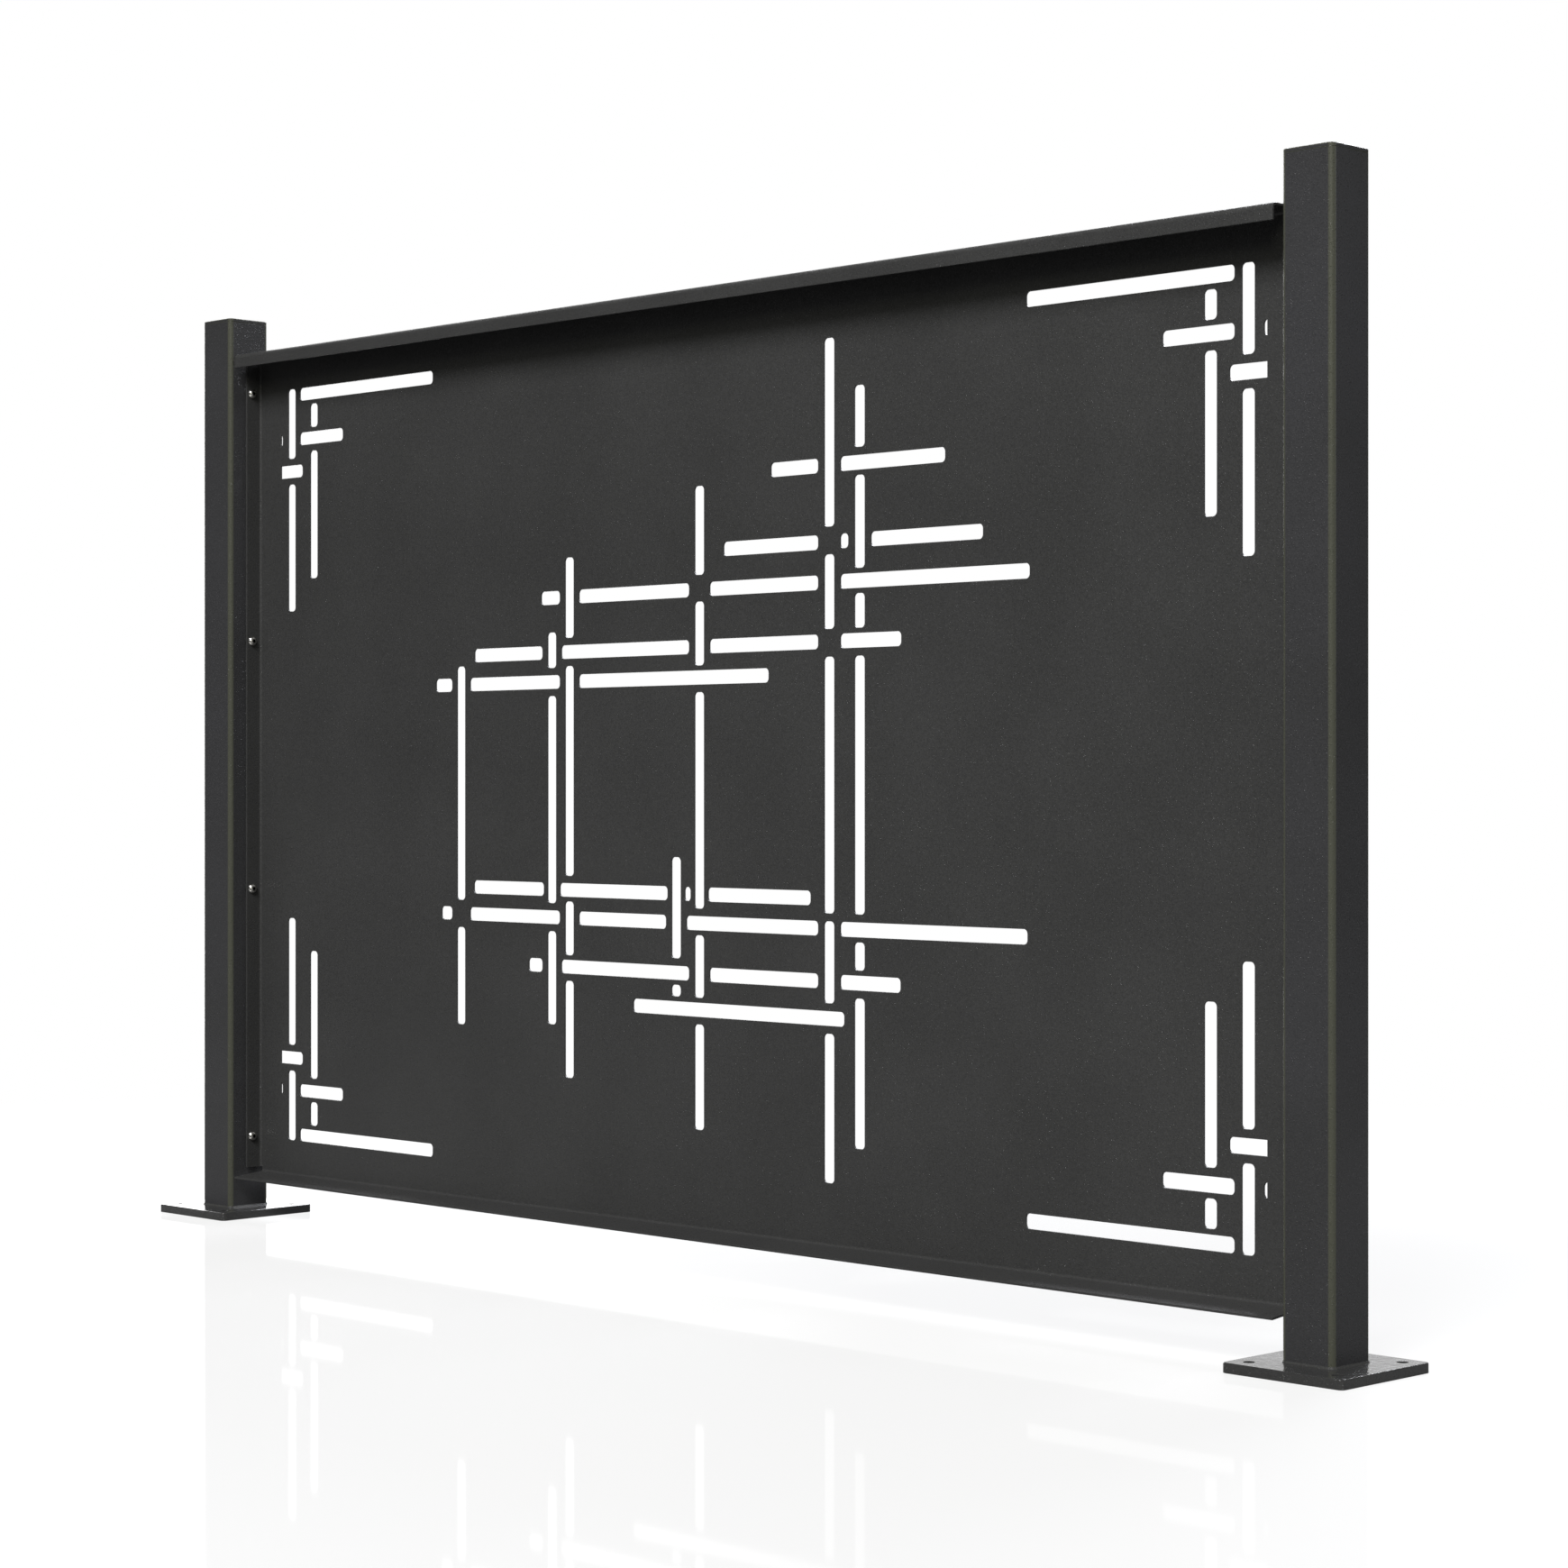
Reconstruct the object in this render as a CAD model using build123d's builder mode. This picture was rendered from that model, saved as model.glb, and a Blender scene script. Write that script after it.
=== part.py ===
from build123d import *
from collections import namedtuple
import os

# Balustrade bay: a folded and slotted sheet panel screwed between two square posts.
# The origin is the centre of the left base plate's underside.
# X runs along the bay to the right post, Y to the back and Z up. All sizes are in millimetres.

# Posts: square tube, closed by a flush cap plate
post_spacing = 1730
post_side = 60
post_wall = 3
post_corner_radius = 6
overall_height = 1150
cap_thickness = 4
cap_edge = 0.8

# Base plates
base_side = 140
base_thickness = 10
base_corner_radius = 6
base_edge = 0.8
anchor_edge_distance = 19
anchor_hole = 11

# Small dressed weld round the foot of each post
weld_width = 1.6
weld_height = 1.8
weld_land = 0.3

# Folded sheet panel: its web stands behind the posts' centre line, its top is flush with their fronts
sheet = 2.5
bend_radius = 3
panel_gap = 4
panel_below_post_top = 48
panel_above_ground = 53
web_behind_post_centre = 13.5
lip_height = 17
ledge_fall = 5
corner_relief = 2

# Screws on the posts' centre line, with a spacer sleeve behind each
screw_count = 4
screw_end_distance = 47.5
screw_edge_distance = 8.5
screw_diameter = 6
screw_tail = 6
head_diameter = 12.5
head_height = 4.2
head_chamfer = 1.8
socket_width = 4
socket_depth = 2.2
spacer_diameter = 14
screw_clearance = 0.3
thread_clearance = 0.1

# Slots: straight cuts that stop a bridge short of the lines they would cross
slot_width = 15.8
slot_radius = 5
largest_radius_share = 0.45
bridge = 8.6
narrow_bridge = 6.1
short_bridge = 5.6
stub_bridge = 11
short_slot = 110
shortest_slot = 3
ornament_margin = 45
stop = slot_width / 2 + bridge
narrow_stop = slot_width / 2 + narrow_bridge

# Level lines of the middle ornament: the height and both ends of each, from the panel's centre
row_1_z = 320
row_1_left = 107
row_1_right = 367
row_2_z = 237
row_2_left = 32
row_2_right = 420
row_3_z = 193.5
row_3_left = -278
row_3_right = 484
row_4_z = 129.5
row_4_left = -400
row_4_right = 304
row_5_z = 95
row_5_left = -473
row_5_right = 104
row_6_z = -148
row_6_left = -401
row_6_right = 169
row_7_z = -180.5
row_7_left = -462
row_7_right = 481
row_8_z = -237.5
row_8_left = -300
row_8_right = 303
row_9_z = -277.5
row_9_left = -117
row_9_right = 220

# Upright lines of the middle ornament: the place and both ends of each, from the panel's centre
column_a_x = -425
column_a_bottom = -314
column_a_top = 117
column_b_x = -258.5
column_b_bottom = -306
column_b_top = 153
column_c_x = -227.5
column_c_bottom = -367
column_c_top = 239.6
column_d_x = -45
column_d_top = -107
column_e_x = -7
column_e_bottom = -412
column_e_top = 309.6
column_f_x = 197
column_f_bottom = -455
column_f_top = 457
column_g_x = 242.5
column_g_bottom = -415
column_g_top = 402.6

# Lines of the corner ornament, measured in from the panel's outer faces
outer_column_inset = 68
outer_column_start = 46
outer_column_end = 329
inner_column_inset = 114
inner_column_end = 288.5
first_row_inset = 54
first_row_end = 352
second_row_inset = 110.5
second_row_end = 174
third_row_inset = 151
third_row_end = 91

# Worked out from the sizes above
post_inner_face = post_side / 2
post_front = -post_side / 2
tube_top = overall_height - cap_thickness
anchor_spacing = base_side - 2 * anchor_edge_distance
panel_left = post_inner_face + panel_gap
panel_right = post_spacing - panel_left
panel_top = overall_height - panel_below_post_top
panel_bottom = panel_above_ground
panel_width = panel_right - panel_left
panel_height = panel_top - panel_bottom
web_back = web_behind_post_centre + sheet
bend_outer_radius = bend_radius + sheet
screw_pitch = (panel_height - 2 * screw_end_distance) / (screw_count - 1)
screw_heights = [panel_bottom + screw_end_distance + index * screw_pitch for index in range(screw_count)]
clear_hole = screw_diameter + 2 * screw_clearance
tapped_hole = screw_diameter + 2 * thread_clearance

# Lines of the middle ornament
Line = namedtuple("Line", "at start end")
row_1 = Line(row_1_z, row_1_left, row_1_right)
row_2 = Line(row_2_z, row_2_left, row_2_right)
row_3 = Line(row_3_z, row_3_left, row_3_right)
row_4 = Line(row_4_z, row_4_left, row_4_right)
row_5 = Line(row_5_z, row_5_left, row_5_right)
row_6 = Line(row_6_z, row_6_left, row_6_right)
row_7 = Line(row_7_z, row_7_left, row_7_right)
row_8 = Line(row_8_z, row_8_left, row_8_right)
row_9 = Line(row_9_z, row_9_left, row_9_right)
column_a = Line(column_a_x, column_a_bottom, column_a_top)
column_b = Line(column_b_x, column_b_bottom, column_b_top)
column_c = Line(column_c_x, column_c_bottom, column_c_top)
column_d = Line(column_d_x, row_9.at, column_d_top)
column_e = Line(column_e_x, column_e_bottom, column_e_top)
lower_column_f = Line(column_f_x, column_f_bottom, row_7.at + slot_width / 2)
upper_column_f = Line(column_f_x, lower_column_f.end + bridge, column_f_top)
column_g = Line(column_g_x, column_g_bottom, column_g_top)


def pieces_of(line, crossings, gap):
    """Split a line where others cross it, leaving the gap of metal on both sides of each."""
    edges = [line.start]
    for crossing in sorted(other.at for other in crossings):
        edges += [crossing - gap, crossing + gap]
    edges.append(line.end)
    return [(low, high) for low, high in zip(edges[0::2], edges[1::2]) if high - low > shortest_slot]


def column_slots(line, *crossings):
    """Slots of an upright line, each as centre x, centre z, width and height.

    A short one between two crossing lines comes closer to both.
    """
    slots = []
    for low, high in pieces_of(line, crossings, stop):
        between = line.start < low and high < line.end
        extra = bridge - short_bridge if between and high - low < short_slot else 0
        slots.append((line.at, (low + high) / 2, slot_width, high - low + 2 * extra))
    return slots


def row_slots(line, *crossings, gap=stop):
    """Slots of a level line, each as centre x, centre z, width and height."""
    return [((low + high) / 2, line.at, high - low, slot_width) for low, high in pieces_of(line, crossings, gap)]


def middle_slots():
    """The middle ornament: each line is broken by the ones named after it."""
    slots = column_slots(column_a, row_7)
    slots += column_slots(column_b, row_7, row_5)
    slots += column_slots(column_c, row_8, row_6, row_4)
    slots += column_slots(column_d, row_9, row_8)
    slots += column_slots(column_e, row_9, row_7, row_5, row_3)
    slots += column_slots(lower_column_f, row_9)
    slots += column_slots(upper_column_f, row_4, row_2)
    slots += column_slots(column_g, row_8, row_7, row_4, row_3, row_1)
    slots += row_slots(row_1, upper_column_f)
    slots += row_slots(row_2, upper_column_f, column_g)
    slots += row_slots(row_3, column_c, column_e, upper_column_f)
    slots += row_slots(row_4, column_b, column_e, upper_column_f)
    slots += row_slots(row_5, column_a, column_c)
    slots += row_slots(row_6, column_b, column_d, column_e, gap=narrow_stop)
    slots += row_slots(row_7, column_a, column_c, column_d, lower_column_f)
    slots += row_slots(row_8, column_b, column_e, lower_column_f)
    slots += row_slots(row_9)
    return slots


def corner_slots():
    """The corner ornament, drawn for the upper right corner. Its rows run on to the panel's side."""
    side = panel_width / 2
    top = panel_height / 2
    first_row = Line(top - first_row_inset, side - first_row_end, side - outer_column_inset - stop)
    second_row = Line(top - second_row_inset, side - second_row_end, side - outer_column_inset - stop)
    stub_start = side - outer_column_inset + slot_width / 2 + stub_bridge
    second_row_stub = Line(second_row.at, stub_start, side)
    third_row = Line(top - third_row_inset, side - third_row_end, side)
    outer_column = Line(side - outer_column_inset, top - outer_column_end, top - outer_column_start)
    inner_column = Line(side - inner_column_inset, top - inner_column_end, first_row.at)
    slots = column_slots(outer_column, third_row)
    slots += column_slots(inner_column, second_row, first_row)
    slots += row_slots(first_row)
    slots += row_slots(second_row)
    slots += row_slots(second_row_stub)
    slots += row_slots(third_row)
    return slots


def round_ended_slot(width, height):
    """A slot with rounded corners, which are limited by its shorter side."""
    RectangleRounded(width, height, min(slot_radius, largest_radius_share * min(width, height)))


# Panel: the web with its top flange, lip and ledge is one bent strip, and the side flanges another
with BuildPart() as panel:
    with BuildSketch(Plane.YZ.offset(panel_left + bend_outer_radius)):
        with BuildLine():
            FilletPolyline(
                (post_front, panel_top - lip_height),
                (post_front, panel_top),
                (web_back, panel_top),
                (web_back, panel_bottom),
                (post_front, panel_bottom - ledge_fall),
                radius=bend_outer_radius,
            )
            offset(amount=sheet, side=Side.RIGHT)
        make_face()
    extrude(amount=panel_width - 2 * bend_outer_radius)
    with BuildSketch(Plane.XY.offset(panel_bottom + bend_outer_radius + corner_relief)):
        with BuildLine():
            FilletPolyline(
                (panel_left, -screw_edge_distance),
                (panel_left, web_back),
                (panel_right, web_back),
                (panel_right, -screw_edge_distance),
                radius=bend_outer_radius,
            )
            offset(amount=sheet, side=Side.RIGHT)
        make_face()
    extrude(amount=panel_height - 2 * (bend_outer_radius + corner_relief))
    panel_centre = ((panel_left + panel_right) / 2, web_back, (panel_bottom + panel_top) / 2)
    with BuildSketch(Plane(panel_centre, x_dir=(1, 0, 0), z_dir=(0, -1, 0))):
        for x, z, width, height in middle_slots():
            with Locations((x, z)):
                round_ended_slot(width, height)
        for x, z, width, height in corner_slots():
            with Locations((x, z), (-x, z), (x, -z), (-x, -z)):
                round_ended_slot(width, height)
        Rectangle(panel_width - 2 * ornament_margin, panel_height - 2 * ornament_margin, mode=Mode.INTERSECT)
    extrude(amount=sheet, mode=Mode.SUBTRACT)
    with BuildSketch(Plane.YZ.offset(panel_left)):
        with Locations(*[(0, height) for height in screw_heights]):
            Circle(clear_hole / 2)
    extrude(amount=panel_width, mode=Mode.SUBTRACT)
panel.part.label = "panel"


def base_plate(x, label):
    with BuildPart() as plate:
        with BuildSketch(Plane.XY):
            with Locations((x, 0)):
                RectangleRounded(base_side, base_side, base_corner_radius)
        extrude(amount=base_thickness)
        chamfer(plate.faces().sort_by(Axis.Z)[-1].edges(), base_edge)
        with Locations((x, 0, base_thickness)):
            with GridLocations(anchor_spacing, anchor_spacing, 2, 2):
                Hole(anchor_hole / 2)
    plate.part.label = label
    return plate


# Square tube, tapped for the screws in the wall that faces the panel
def post(x, facing, label):
    bore = post_side - 2 * post_wall
    with BuildPart() as tube:
        with BuildSketch(Plane.XY.offset(base_thickness)):
            with Locations((x, 0)):
                RectangleRounded(post_side, post_side, post_corner_radius)
                Rectangle(bore, bore, mode=Mode.SUBTRACT)
        extrude(amount=tube_top - base_thickness)
        with BuildSketch(Plane((x + facing * bore / 2, 0, 0), x_dir=(0, facing, 0), z_dir=(facing, 0, 0))):
            with Locations(*[(0, height) for height in screw_heights]):
                Circle(tapped_hole / 2)
        extrude(amount=post_wall, mode=Mode.SUBTRACT)
    tube.part.label = label
    return tube


def post_cap(x, label):
    with BuildPart() as cap:
        with BuildSketch(Plane.XY.offset(tube_top)):
            with Locations((x, 0)):
                RectangleRounded(post_side, post_side, post_corner_radius)
        extrude(amount=cap_thickness)
        chamfer(cap.faces().sort_by(Axis.Z)[-1].edges(), cap_edge)
    cap.part.label = label
    return cap


# A sloped collar from the plate up the foot of the post
def foot_weld(x, label):
    toe_side = post_side + 2 * weld_width
    crown_side = post_side + 2 * weld_land
    with BuildPart() as weld:
        with BuildSketch(Plane.XY.offset(base_thickness)):
            with Locations((x, 0)):
                RectangleRounded(toe_side, toe_side, post_corner_radius + weld_width)
        with BuildSketch(Plane.XY.offset(base_thickness + weld_height)):
            with Locations((x, 0)):
                RectangleRounded(crown_side, crown_side, post_corner_radius + weld_land)
        loft(ruled=True)
        with BuildSketch(Plane.XY.offset(base_thickness)):
            with Locations((x, 0)):
                RectangleRounded(post_side, post_side, post_corner_radius)
        extrude(amount=weld_height, mode=Mode.SUBTRACT)
    weld.part.label = label
    return weld


# Head on the side flange, shank through flange, spacer and post wall
def screw(seat, label):
    with BuildPart() as fastener:
        with BuildSketch(seat):
            Circle(head_diameter / 2)
        head = extrude(amount=head_height)
        crown = head.faces().sort_by(Axis(seat.origin, seat.z_dir))[-1]
        chamfer(crown.edges(), head_chamfer)
        with BuildSketch(seat.offset(head_height)):
            RegularPolygon(socket_width / 2, 6, major_radius=False)
        extrude(amount=-socket_depth, mode=Mode.SUBTRACT)
        with BuildSketch(seat):
            Circle(screw_diameter / 2)
        extrude(amount=-(sheet + panel_gap + post_wall + screw_tail))
    fastener.part.label = label
    return fastener


# Sleeve that fills the joint between side flange and post
def spacer(seat, label):
    with BuildPart() as sleeve:
        with BuildSketch(seat.offset(-sheet)):
            Circle(spacer_diameter / 2)
            Circle(clear_hole / 2, mode=Mode.SUBTRACT)
        extrude(amount=-panel_gap)
    sleeve.part.label = label
    return sleeve


pieces = [panel]
for side, x, facing in (("left", 0, 1), ("right", post_spacing, -1)):
    pieces.append(base_plate(x, f"{side}_base_plate"))
    pieces.append(post(x, facing, f"{side}_post"))
    pieces.append(post_cap(x, f"{side}_post_cap"))
    pieces.append(foot_weld(x, f"{side}_foot_weld"))
    seat_x = x + facing * (post_inner_face + panel_gap + sheet)
    for number, height in enumerate(screw_heights, 1):
        seat = Plane((seat_x, 0, height), x_dir=(0, facing, 0), z_dir=(facing, 0, 0))
        pieces.append(screw(seat, f"{side}_screw_{number}"))
        pieces.append(spacer(seat, f"{side}_spacer_{number}"))

os.makedirs("parts", exist_ok=True)
for piece in pieces:
    export_step(piece.part, f"parts/{piece.part.label}.step")
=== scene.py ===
import math

import bmesh
import bpy
from mathutils import Matrix, Vector


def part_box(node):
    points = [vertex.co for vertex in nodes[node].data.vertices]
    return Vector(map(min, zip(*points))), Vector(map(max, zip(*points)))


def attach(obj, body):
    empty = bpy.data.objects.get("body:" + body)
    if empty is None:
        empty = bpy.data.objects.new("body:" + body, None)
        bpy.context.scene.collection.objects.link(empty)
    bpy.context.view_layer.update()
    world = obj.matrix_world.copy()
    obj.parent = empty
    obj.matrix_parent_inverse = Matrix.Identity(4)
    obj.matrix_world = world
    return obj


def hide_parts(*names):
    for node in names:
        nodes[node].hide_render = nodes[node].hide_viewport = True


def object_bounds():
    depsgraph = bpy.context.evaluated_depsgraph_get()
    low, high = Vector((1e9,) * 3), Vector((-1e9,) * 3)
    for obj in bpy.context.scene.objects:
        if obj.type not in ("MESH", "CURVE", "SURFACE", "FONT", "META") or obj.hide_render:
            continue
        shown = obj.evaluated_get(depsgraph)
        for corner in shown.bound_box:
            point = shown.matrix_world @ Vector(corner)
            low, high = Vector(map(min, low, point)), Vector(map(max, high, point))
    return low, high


mm = 0.001
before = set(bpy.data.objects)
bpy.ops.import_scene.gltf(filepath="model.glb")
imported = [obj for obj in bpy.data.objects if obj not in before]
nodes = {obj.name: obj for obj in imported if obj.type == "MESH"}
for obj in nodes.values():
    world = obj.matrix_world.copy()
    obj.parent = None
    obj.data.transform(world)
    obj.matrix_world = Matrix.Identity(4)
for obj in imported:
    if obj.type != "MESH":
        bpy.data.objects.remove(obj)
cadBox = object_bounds()
sides = ("left", "right")
screwNumbers = (1, 2, 3, 4)
creaseAngle = math.radians(30)
print("frame loaded:", len(nodes), "nodes")


def linear(hexColour):
    # sRGB hex to the linear RGBA that shader sockets take
    channels = [int(hexColour[i:i + 2], 16) / 255 for i in (1, 3, 5)]
    return [c / 12.92 if c <= 0.04045 else ((c + 0.055) / 1.055) ** 2.4 for c in channels] + [1.0]


def addNode(tree, kind, settings=None, values=None, links=None):
    # settings are the node's own, values go on its sockets, links come from other nodes' outputs
    node = tree.nodes.new(kind)
    for name, value in (settings or {}).items():
        setattr(node, name, value)
    for socket, value in (values or {}).items():
        node.inputs[socket].default_value = value
    for socket, output in (links or {}).items():
        tree.links.new(output, node.inputs[socket])
    return node


def setRamp(ramp, stops):
    # two stops, each a place and a colour
    for element, (place, colour) in zip(ramp.color_ramp.elements, stops):
        element.position = place
        element.color = colour


def newMaterial(name):
    material = bpy.data.materials.new(name)
    material.use_nodes = True
    material.node_tree.nodes.clear()
    return material, material.node_tree


def dress(obj, material):
    obj.data.materials.clear()
    obj.data.materials.append(material)


def addPiece(name, bm, material, replaced):
    # a finished bmesh becomes a piece that stands for a CAD node, crisp at edges past the crease angle
    bmesh.ops.recalc_face_normals(bm, faces=bm.faces)
    mesh = bpy.data.meshes.new(name)
    bm.to_mesh(mesh)
    bm.free()
    mesh.shade_smooth()
    mesh.set_sharp_from_angle(angle=creaseAngle)
    piece = bpy.data.objects.new(name, mesh)
    bpy.context.scene.collection.objects.link(piece)
    dress(piece, material)
    flatten = piece.modifiers.new("flatFacesStayFlat", "WEIGHTED_NORMAL")
    flatten.mode = "FACE_AREA"
    flatten.keep_sharp = True
    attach(piece, "root")
    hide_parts(replaced)
    return piece


# Fine-texture polyester powder coat, sprayed and baked on steel: a dull anthracite skin with a
# tight wrinkle that breaks up reflections, and a sharper sheen where it is seen at a low angle.
powderCoat = {
    "panel": {"colours": ("#363636", "#3a3a3a"), "roughness": (0.34, 0.46), "specularLevel": 0.25},
    "posts": {"colours": ("#343435", "#38383a"), "roughness": (0.34, 0.46), "specularLevel": 0.25,
              "cornerHighlightColour": "#45463d"},  # painted highlight: a lighter olive tone on the rolled corners, where the lamps' highlight falls
    "bases": {"colours": ("#323232", "#383838"), "roughness": (0.06, 0.16), "specularLevel": 0.5},
    "welds": {"colours": ("#343434", "#3a3a39"), "roughness": (0.36, 0.48), "specularLevel": 0.25},
    "ior": 1.5,
    "cloudSize": 180 * mm,
    "cloudDetail": 3.0,
    "cloudSpread": (0.35, 0.65),  # the span of the noise over which one tone turns to the other
    "wrinkleSize": 1.6 * mm,  # a real wrinkle is about 0.4 mm, drawn coarser to show
    "wrinkleDetail": 2.0,
    "wrinkleRoughness": 0.6,
    "wrinkleGlossSpread": (0.35, 0.65),
    "wrinkleShadeSpread": (0.3, 0.7),
    "wrinkleShade": (0.82, 1.18),  # painted shade: hollows are darker than ridges, and ridges lighter
    "wrinkleDepth": {"panel": 0.05 * mm, "posts": 0.05 * mm, "bases": 0.06 * mm, "welds": 0.05 * mm},
    "cornerHighlightTurn": (0.999, 0.985),  # cosines: the painted corner highlight shows from 2.5 degrees off the flat
    # orange peel, drawn deeper on the plates, which are seen at a low angle
    "peelSize": {"panel": 9 * mm, "posts": 9 * mm, "bases": 6 * mm, "welds": 9 * mm},
    "peelDepth": {"panel": 0.03 * mm, "posts": 0.03 * mm, "bases": 0.45 * mm, "welds": 0.03 * mm},
    "peelDetail": 1.0,
    "grainSize": 1.5 * mm,  # resin grains of about 0.1 mm, drawn coarser to show as glints
    "grainDetail": 0.0,
    "grainSpread": (0.66, 0.74),  # only the peaks of the noise are grains
    "grainDepth": 0.16 * mm,
    "grainRoughness": 0.16,
}


def makePowderCoat(where):
    finish = powderCoat[where]
    material, tree = newMaterial(f"powderCoat-{where}")
    place = addNode(tree, "ShaderNodeTexCoord").outputs["Object"]
    cloud = addNode(tree, "ShaderNodeTexNoise",
                    values={"Scale": 1 / powderCoat["cloudSize"], "Detail": powderCoat["cloudDetail"]},
                    links={"Vector": place})
    wrinkle = addNode(tree, "ShaderNodeTexNoise",
                      values={"Scale": 1 / powderCoat["wrinkleSize"],
                              "Detail": powderCoat["wrinkleDetail"],
                              "Roughness": powderCoat["wrinkleRoughness"]},
                      links={"Vector": place})
    peel = addNode(tree, "ShaderNodeTexNoise",
                   values={"Scale": 1 / powderCoat["peelSize"][where], "Detail": powderCoat["peelDetail"]},
                   links={"Vector": place})
    tint = addNode(tree, "ShaderNodeValToRGB", links={"Fac": cloud.outputs["Fac"]})
    setRamp(tint, zip(powderCoat["cloudSpread"], map(linear, finish["colours"])))
    # painted shade and highlight: the wrinkle's hollows are darkened and its ridges lightened in the
    # colour
    paintedWrinkleShade = addNode(tree, "ShaderNodeMapRange",
                   values={"From Min": powderCoat["wrinkleShadeSpread"][0],
                           "From Max": powderCoat["wrinkleShadeSpread"][1],
                           "To Min": powderCoat["wrinkleShade"][0],
                           "To Max": powderCoat["wrinkleShade"][1]},
                   links={"Value": wrinkle.outputs["Fac"]})
    shade = addNode(tree, "ShaderNodeMix", {"data_type": "RGBA", "blend_type": "MULTIPLY"},
                    {"Factor": 1.0}, {"A": tint.outputs["Color"], "B": paintedWrinkleShade.outputs["Result"]})
    grain = addNode(tree, "ShaderNodeTexNoise",
                    values={"Scale": 1 / powderCoat["grainSize"], "Detail": powderCoat["grainDetail"]},
                    links={"Vector": place})
    glint = addNode(tree, "ShaderNodeMapRange",
                    values={"From Min": powderCoat["grainSpread"][0],
                            "From Max": powderCoat["grainSpread"][1]},
                    links={"Value": grain.outputs["Fac"]})
    # painted highlight: the posts' rolled corners turn to a lighter olive tone, masked by how far the
    # normal leans off the flat
    if "cornerHighlightColour" in finish:
        facing = addNode(tree, "ShaderNodeVectorMath", {"operation": "ABSOLUTE"},
                         links={0: addNode(tree, "ShaderNodeNewGeometry").outputs["Normal"]})
        parts = addNode(tree, "ShaderNodeSeparateXYZ", links={0: facing.outputs["Vector"]})
        level = addNode(tree, "ShaderNodeMath", {"operation": "MAXIMUM"},
                        links={0: parts.outputs["X"], 1: parts.outputs["Y"]})
        flat = addNode(tree, "ShaderNodeMath", {"operation": "MAXIMUM"},
                       links={0: level.outputs["Value"], 1: parts.outputs["Z"]})
        paintedHighlightMask = addNode(tree, "ShaderNodeMapRange",
                         values={"From Min": powderCoat["cornerHighlightTurn"][0],
                                 "From Max": powderCoat["cornerHighlightTurn"][1]},
                         links={"Value": flat.outputs["Value"]})
        shade = addNode(tree, "ShaderNodeMix", {"data_type": "RGBA"},
                        {"B": linear(finish["cornerHighlightColour"])},
                        {"Factor": paintedHighlightMask.outputs["Result"], "A": shade.outputs["Result"]})
    gloss = addNode(tree, "ShaderNodeMapRange",
                    values={"From Min": powderCoat["wrinkleGlossSpread"][0],
                            "From Max": powderCoat["wrinkleGlossSpread"][1],
                            "To Min": finish["roughness"][0], "To Max": finish["roughness"][1]},
                    links={"Value": wrinkle.outputs["Fac"]})
    sheen = addNode(tree, "ShaderNodeMix", {"data_type": "FLOAT"}, {3: powderCoat["grainRoughness"]},
                    {0: glint.outputs["Result"], 2: gloss.outputs["Result"]})
    peelBump = addNode(tree, "ShaderNodeBump",
                       values={"Strength": 1.0, "Distance": powderCoat["peelDepth"][where]},
                       links={"Height": peel.outputs["Fac"]})
    wrinkleBump = addNode(tree, "ShaderNodeBump",
                          values={"Strength": 1.0, "Distance": powderCoat["wrinkleDepth"][where]},
                          links={"Height": wrinkle.outputs["Fac"], "Normal": peelBump.outputs["Normal"]})
    grainBump = addNode(tree, "ShaderNodeBump",
                        values={"Strength": 1.0, "Distance": powderCoat["grainDepth"]},
                        links={"Height": glint.outputs["Result"], "Normal": wrinkleBump.outputs["Normal"]})
    skin = addNode(tree, "ShaderNodeBsdfPrincipled",
                   values={"IOR": powderCoat["ior"], "Specular IOR Level": finish["specularLevel"]},
                   links={"Base Color": shade.outputs["Result"], "Roughness": sheen.outputs[0],
                          "Normal": grainBump.outputs["Normal"]})
    addNode(tree, "ShaderNodeOutputMaterial", links={"Surface": skin.outputs["BSDF"]})
    return material


# Stainless steel, cold headed and tumbled: bright, with a soft satin that blurs what it mirrors.
stainlessSteel = {
    "colour": "#c9c7c2",
    "tumbleSize": 0.8 * mm,
    "tumbleDetail": 3.0,
    "tumbleSpread": (0.3, 0.7),
    "roughness": (0.16, 0.30),
}


def makeStainlessSteel():
    material, tree = newMaterial("stainlessSteelTumbled")
    place = addNode(tree, "ShaderNodeTexCoord").outputs["Object"]
    tumble = addNode(tree, "ShaderNodeTexNoise",
                     values={"Scale": 1 / stainlessSteel["tumbleSize"],
                             "Detail": stainlessSteel["tumbleDetail"]},
                     links={"Vector": place})
    gloss = addNode(tree, "ShaderNodeMapRange",
                    values={"From Min": stainlessSteel["tumbleSpread"][0],
                            "From Max": stainlessSteel["tumbleSpread"][1],
                            "To Min": stainlessSteel["roughness"][0],
                            "To Max": stainlessSteel["roughness"][1]},
                    links={"Value": tumble.outputs["Fac"]})
    metal = addNode(tree, "ShaderNodeBsdfPrincipled",
                    values={"Base Color": linear(stainlessSteel["colour"]), "Metallic": 1.0},
                    links={"Roughness": gloss.outputs["Result"]})
    addNode(tree, "ShaderNodeOutputMaterial", links={"Surface": metal.outputs["BSDF"]})
    return material


# Black nylon, moulded: a dull dark sleeve with a faint mottle, hardly seen in the joint.
blackNylon = {
    "colours": ("#101011", "#191919"),
    "grainSize": 2 * mm,
    "grainDetail": 2.0,
    "grainSpread": (0.3, 0.7),
    "roughness": 0.6,
    "ior": 1.53,
}


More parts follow.
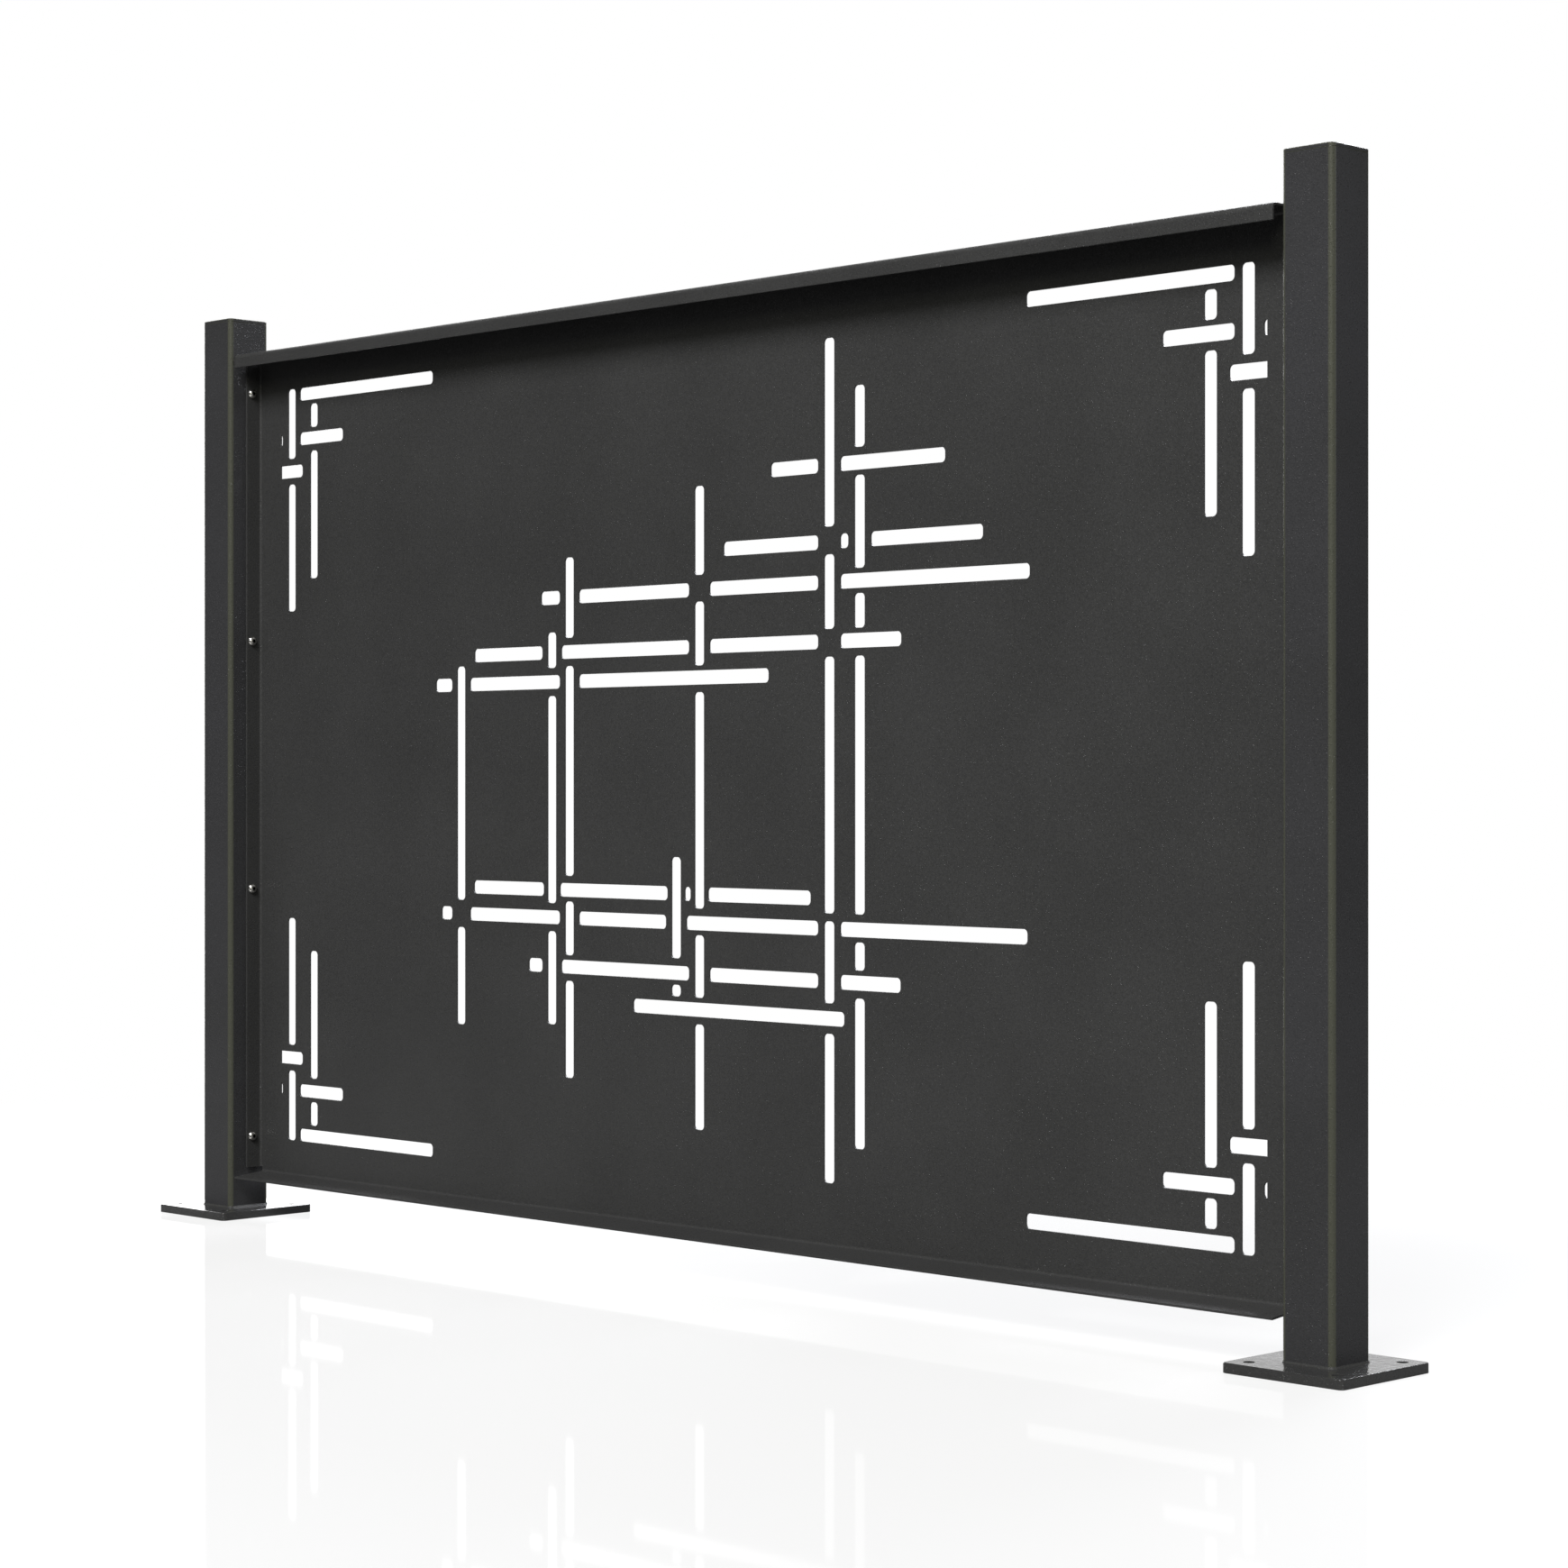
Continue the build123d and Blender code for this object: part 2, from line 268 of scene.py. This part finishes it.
def makeBlackNylon():
    material, tree = newMaterial("blackNylonMoulded")
    place = addNode(tree, "ShaderNodeTexCoord").outputs["Object"]
    grain = addNode(tree, "ShaderNodeTexNoise",
                    values={"Scale": 1 / blackNylon["grainSize"], "Detail": blackNylon["grainDetail"]},
                    links={"Vector": place})
    tint = addNode(tree, "ShaderNodeValToRGB", links={"Fac": grain.outputs["Fac"]})
    setRamp(tint, zip(blackNylon["grainSpread"], map(linear, blackNylon["colours"])))
    plastic = addNode(tree, "ShaderNodeBsdfPrincipled",
                      values={"Roughness": blackNylon["roughness"], "IOR": blackNylon["ior"]},
                      links={"Base Color": tint.outputs["Color"]})
    addNode(tree, "ShaderNodeOutputMaterial", links={"Surface": plastic.outputs["BSDF"]})
    return material


panelCoat = makePowderCoat("panel")
postCoat = makePowderCoat("posts")
baseCoat = makePowderCoat("bases")
weldCoat = makePowderCoat("welds")
steel = makeStainlessSteel()
nylon = makeBlackNylon()

dress(nodes["panel"], panelCoat)
for side in sides:
    dress(nodes[f"{side}_post"], postCoat)
    dress(nodes[f"{side}_post_cap"], postCoat)
    dress(nodes[f"{side}_base_plate"], baseCoat)
    dress(nodes[f"{side}_foot_weld"], weldCoat)
    for number in screwNumbers:
        dress(nodes[f"{side}_screw_{number}"], steel)
        dress(nodes[f"{side}_spacer_{number}"], nylon)
print("materials made")

# Coated sheet and tube: cut edges carry a thicker coat, which rounds them enough to catch light
softEdges = {
    "radius": 0.45 * mm,
    "segments": 2,
    "flatness": math.radians(0.5),
    "weldDistance": 0.001 * mm,
    "nodes": {"panel": (panelCoat, "panel_coat")},
}
for side in sides:
    softEdges["nodes"][f"{side}_post"] = (postCoat, "post_coat")
    softEdges["nodes"][f"{side}_post_cap"] = (postCoat, "post_coat")
    softEdges["nodes"][f"{side}_base_plate"] = (baseCoat, "base_coat")


def softenEdges(name, material):
    bm = bmesh.new()
    bm.from_mesh(nodes[name].data)
    bmesh.ops.remove_doubles(bm, verts=bm.verts, dist=softEdges["weldDistance"])
    bmesh.ops.dissolve_limit(bm, angle_limit=softEdges["flatness"], verts=bm.verts, edges=bm.edges)
    corners = [e for e in bm.edges if e.is_manifold and e.calc_face_angle() > creaseAngle]
    bmesh.ops.bevel(bm, geom=corners, offset=softEdges["radius"], offset_type="OFFSET",
                    segments=softEdges["segments"], profile=0.5, affect="EDGES", material=-1)
    addPiece(f"{name}_coated", bm, material, name)


for name, (material, slot) in softEdges["nodes"].items():
    softenEdges(name, material)
print("coated steel softened:", len(softEdges["nodes"]))

# Button-head screws: a domed head on a thin land, with a hexagon socket. The axis is local Z and
# the head's seat is at zero, as in the frame.
buttonHead = {
    "headRadius": 6.25 * mm,
    "land": 0.6 * mm,
    "domeCentre": -1.857 * mm,
    "domeSweep": math.radians(42.96),
    "domeSteps": 10,
    "rimRound": 0.15 * mm,
    "shankRadius": 3 * mm,
    "shankLength": 15.5 * mm,
    "tipChamfer": 0.6 * mm,
    "socketAcross": 4 * mm,
    "socketDepth": 2.2 * mm,
    "turnSteps": 48,
}


def makeScrew(name):
    screw = buttonHead
    bm = bmesh.new()
    tip = screw["shankLength"]
    outline = [
        (screw["shankRadius"] - screw["tipChamfer"], -tip),
        (screw["shankRadius"], screw["tipChamfer"] - tip),
        (screw["shankRadius"], 0),
        (screw["headRadius"] - screw["rimRound"], 0),
        (screw["headRadius"], screw["rimRound"]),
        (screw["headRadius"], screw["land"]),
    ]
    points = [bm.verts.new((radius, 0, height)) for radius, height in outline]
    for start, end in zip(points, points[1:]):
        bm.edges.new((start, end))
    bmesh.ops.spin(bm, geom=points[-1:], cent=(0, 0, screw["domeCentre"]), axis=(0, -1, 0),
                   angle=screw["domeSweep"], steps=screw["domeSteps"])
    bmesh.ops.spin(bm, geom=bm.verts[:] + bm.edges[:], cent=(0, 0, 0), axis=(0, 0, 1),
                   angle=2 * math.pi, steps=screw["turnSteps"], use_merge=True)
    top = max(v.co.z for v in bm.verts)
    rim = [e for e in bm.edges if e.is_boundary and min(v.co.z for v in e.verts) > 0]
    tipRing = [e for e in bm.edges if e.is_boundary and e not in rim]
    socketRadius = screw["socketAcross"] / 2 / math.cos(math.pi / 6)
    hexagon = bmesh.ops.create_circle(bm, segments=6, radius=socketRadius)
    bmesh.ops.translate(bm, vec=(0, 0, top), verts=hexagon["verts"])
    mouth = list(dict.fromkeys(e for v in hexagon["verts"] for e in v.link_edges))
    bmesh.ops.bridge_loops(bm, edges=rim + mouth)
    walls = bmesh.ops.extrude_edge_only(bm, edges=mouth)
    floorVerts = [g for g in walls["geom"] if isinstance(g, bmesh.types.BMVert)]
    bmesh.ops.translate(bm, vec=(0, 0, -screw["socketDepth"]), verts=floorVerts)
    floorRing = [e for e in walls["geom"] if isinstance(e, bmesh.types.BMEdge) and e.is_boundary]
    bmesh.ops.holes_fill(bm, edges=tipRing + floorRing)
    low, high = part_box(name)
    facing = 1 if name.startswith("left") else -1
    seat = low.x + tip if facing > 0 else high.x - tip
    middle = (low + high) / 2
    turn = Matrix.Rotation(facing * math.pi / 2, 4, "Y")
    place = Matrix.Translation((seat, middle.y, middle.z)) @ turn
    bmesh.ops.transform(bm, matrix=place, verts=bm.verts)
    addPiece(f"{name}_button", bm, steel, name)


for side in sides:
    for number in screwNumbers:
        makeScrew(f"{side}_screw_{number}")
print("screws made")

# White studio: a paper sweep that shows white to the lens and to shiny metal. The backdrop stands
# behind the bay as the lens sees it, and the rest of the room is dim.
studio = {
    "paperColour": "#707070",
    "paperGlow": 0.80,  # with the lamps on the paper this comes to white
    "paperGlowInGloss": 0.08,
    "paperRadius": 3.0,
    "paperFade": 1.8,
    "paperCentre": (0.4, -0.5),  # from the middle of the bay, towards the lens
    "paperGloss": 0.06,
    "paperGlossRoughness": 0.04,
    "paperSegments": 96,
    "backdrop": 1.0,
    "backdropTurn": 45,
    "backdropSpread": (0.6, 0.9),
    "backdropSlope": (0.68, 0.82),  # it grows brighter to the left, by this much of the way round
    "backdropInGloss": (0.95, 5.0),
    "room": 0.06,
    "fill": 0.16,
}


def makeFloor():
    middle = (Vector(cadBox[0]) + Vector(cadBox[1])) / 2
    centre = Vector((middle.x + studio["paperCentre"][0], middle.y + studio["paperCentre"][1], 0))
    material, tree = newMaterial("paperSweep")
    path = addNode(tree, "ShaderNodeLightPath")
    place = addNode(tree, "ShaderNodeTexCoord").outputs["Object"]
    reach = addNode(tree, "ShaderNodeVectorMath", {"operation": "DISTANCE"}, {1: centre}, {0: place})
    edge = addNode(tree, "ShaderNodeMapRange",
                   values={"From Min": studio["paperRadius"] - studio["paperFade"],
                           "From Max": studio["paperRadius"]},
                   links={"Value": reach.outputs["Value"]})
    paint = addNode(tree, "ShaderNodeBsdfDiffuse", values={"Color": linear(studio["paperColour"])})
    glowStrength = addNode(tree, "ShaderNodeMix", {"data_type": "FLOAT"},
                           {2: studio["paperGlowInGloss"], 3: studio["paperGlow"]},
                           {0: path.outputs["Is Camera Ray"]})
    glow = addNode(tree, "ShaderNodeEmission", links={"Strength": glowStrength.outputs[0]})
    white = addNode(tree, "ShaderNodeEmission", values={"Strength": studio["backdrop"]})
    lit = addNode(tree, "ShaderNodeAddShader",
                  links={0: paint.outputs["BSDF"], 1: glow.outputs["Emission"]})
    mirror = addNode(tree, "ShaderNodeBsdfGlossy", values={"Roughness": studio["paperGlossRoughness"]})
    polished = addNode(tree, "ShaderNodeMixShader", values={"Fac": studio["paperGloss"]},
                       links={1: lit.outputs["Shader"], 2: mirror.outputs["BSDF"]})
    faded = addNode(tree, "ShaderNodeMixShader",
                    links={"Fac": edge.outputs["Result"], 1: polished.outputs["Shader"],
                           2: white.outputs["Emission"]})
    shiny = addNode(tree, "ShaderNodeMath", {"operation": "MAXIMUM"},
                    links={0: path.outputs["Is Glossy Ray"], 1: path.outputs["Is Transmission Ray"]})
    shown = addNode(tree, "ShaderNodeMath", {"operation": "MAXIMUM"},
                    links={0: path.outputs["Is Camera Ray"], 1: shiny.outputs["Value"]})
    seen = addNode(tree, "ShaderNodeMixShader",
                   links={"Fac": shown.outputs["Value"], 1: paint.outputs["BSDF"],
                          2: faded.outputs["Shader"]})
    addNode(tree, "ShaderNodeOutputMaterial", links={"Surface": seen.outputs["Shader"]})
    bm = bmesh.new()
    bmesh.ops.create_circle(bm, cap_ends=True, segments=studio["paperSegments"],
                            radius=studio["paperRadius"])
    bmesh.ops.translate(bm, vec=centre, verts=bm.verts)
    mesh = bpy.data.meshes.new("paperFloor")
    bm.to_mesh(mesh)
    bm.free()
    floor = bpy.data.objects.new("paperFloor", mesh)
    bpy.context.scene.collection.objects.link(floor)
    dress(floor, material)


def makeWorld():
    world = bpy.data.worlds.new("whiteStudio")
    bpy.context.scene.world = world
    world.use_nodes = True
    tree = world.node_tree
    tree.nodes.clear()
    turn = math.radians(studio["backdropTurn"])
    path = addNode(tree, "ShaderNodeLightPath")
    look = addNode(tree, "ShaderNodeTexCoord")
    facing = addNode(tree, "ShaderNodeVectorMath", {"operation": "DOT_PRODUCT"},
                     {1: (-math.sin(turn), math.cos(turn), 0)}, {0: look.outputs["Generated"]})
    spread = addNode(tree, "ShaderNodeMapRange",
                     values={"From Min": studio["backdropSpread"][0],
                             "From Max": studio["backdropSpread"][1]},
                     links={"Value": facing.outputs["Value"]})
    leftward = addNode(tree, "ShaderNodeVectorMath", {"operation": "DOT_PRODUCT"}, {1: (-1, 0, 0)},
                       {0: look.outputs["Generated"]})
    slope = addNode(tree, "ShaderNodeMapRange",
                    values={"From Min": studio["backdropSlope"][0],
                            "From Max": studio["backdropSlope"][1],
                            "To Min": studio["backdropInGloss"][0],
                            "To Max": studio["backdropInGloss"][1]},
                    links={"Value": leftward.outputs["Value"]})
    backdrop = addNode(tree, "ShaderNodeMath", {"operation": "MULTIPLY_ADD"}, {2: studio["room"]},
                       {0: spread.outputs["Result"], 1: slope.outputs["Result"]})
    shiny = addNode(tree, "ShaderNodeMath", {"operation": "MAXIMUM"},
                    links={0: path.outputs["Is Glossy Ray"], 1: path.outputs["Is Transmission Ray"]})
    lightOrMirror = addNode(tree, "ShaderNodeMix", {"data_type": "FLOAT"}, {2: studio["fill"]},
                            {0: shiny.outputs["Value"], 3: backdrop.outputs["Value"]})
    strength = addNode(tree, "ShaderNodeMix", {"data_type": "FLOAT"}, {3: studio["backdrop"]},
                       {0: path.outputs["Is Camera Ray"], 2: lightOrMirror.outputs[0]})
    light = addNode(tree, "ShaderNodeBackground", values={"Color": linear("#ffffff")},
                    links={"Strength": strength.outputs[0]})
    addNode(tree, "ShaderNodeOutputWorld", links={"Surface": light.outputs["Background"]})


# Each lamp: direction from the bay's middle in degrees, distance and size in metres, power
lamps = {
    "keySoftbox": {"azimuth": 22, "elevation": 44, "distance": 12.0, "size": 4.8, "watts": 1690,
                   "colour": "#ffffff"},
    "lensSoftbox": {"azimuth": 40, "elevation": 22, "distance": 8.0, "size": 1.9, "watts": 90,
                    "colour": "#fbfbe6"},
    "sideSoftbox": {"azimuth": 118, "elevation": 18, "distance": 8.0, "size": 2.6, "watts": 68,
                    "colour": "#f6f8ff"},
    "backSoftbox": {"azimuth": 195, "elevation": 42, "distance": 5.0, "size": 2.5, "watts": 320,
                    "colour": "#f6f8ff"},
}


def makeLamps():
    middle = (Vector(cadBox[0]) + Vector(cadBox[1])) / 2
    for name, lamp in lamps.items():
        azimuth = math.radians(lamp["azimuth"])
        elevation = math.radians(lamp["elevation"])
        aim = Vector((math.sin(azimuth) * math.cos(elevation),
                      -math.cos(azimuth) * math.cos(elevation),
                      math.sin(elevation)))
        light = bpy.data.lights.new(name, "AREA")
        light.shape = "DISK"
        light.size = lamp["size"]
        light.energy = lamp["watts"]
        light.color = linear(lamp["colour"])[:3]
        holder = bpy.data.objects.new(name, light)
        bpy.context.scene.collection.objects.link(holder)
        holder.location = middle + aim * lamp["distance"]
        holder.rotation_euler = aim.to_track_quat("Z", "Y").to_euler()
        holder.visible_camera = False


# The photograph's view: a level lens to the right of the bay, at about half its height
view = {
    "place": (3.6909, -2.6627, 0.5543),
    "turn": 45.227,
    "sensorWidth": 36,
    "farEnd": 200,
    "focalPixels": 3858,
    "framePixels": 1740,
    "horizonPixel": 868.8,
}


def makeCamera():
    lens = bpy.data.cameras.new("photoView")
    lens.sensor_fit = "HORIZONTAL"
    lens.sensor_width = view["sensorWidth"]
    lens.lens = lens.sensor_width * view["focalPixels"] / view["framePixels"]
    lens.shift_y = (view["horizonPixel"] - view["framePixels"] / 2) / view["framePixels"]
    lens.clip_end = view["farEnd"]
    camera = bpy.data.objects.new("photoView", lens)
    bpy.context.scene.collection.objects.link(camera)
    camera.location = view["place"]
    camera.rotation_euler = (math.pi / 2, 0, math.radians(view["turn"]))
    bpy.context.scene.camera = camera


makeFloor()
makeWorld()
makeLamps()
makeCamera()
bpy.context.scene.view_settings.view_transform = "Standard"
print("studio set")
